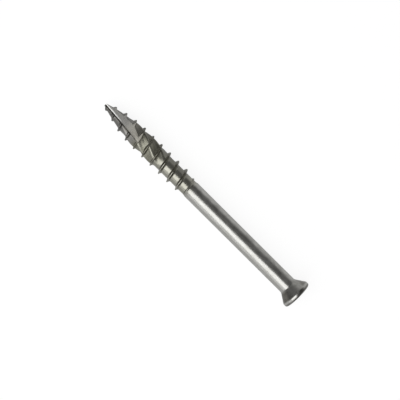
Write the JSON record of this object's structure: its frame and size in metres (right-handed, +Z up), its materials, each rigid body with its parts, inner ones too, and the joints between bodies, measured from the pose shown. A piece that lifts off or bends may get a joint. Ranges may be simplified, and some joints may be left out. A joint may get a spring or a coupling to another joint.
{
  "type": "deck screw",
  "caption": "Countersunk deck screw with a six-lobe recess, plain shank, coarse right-hand wood thread, helical reamer ribs and a notched self-drilling point, lying at rest.",
  "frame": {"origin": "on the ground below the middle of the bounding box of the screw as it lies at rest", "axes": "+X along the screw from its tip to its head, +Y to one side, level, +Z up. The screw's own axis leans up by about 1 degree towards +X, because the head's rim is wider than the thread. The point's notch faces +Z."},
  "size_m": [0.0636, 0.0076, 0.0076],
  "materials": {
    "stainless": "rolled and tumbled bright stainless steel, slightly warm, with a darker tone in the thread's roots"
  },
  "bodies": {
    "root": {"screw": "stainless"}
  },
  "joints": []
}
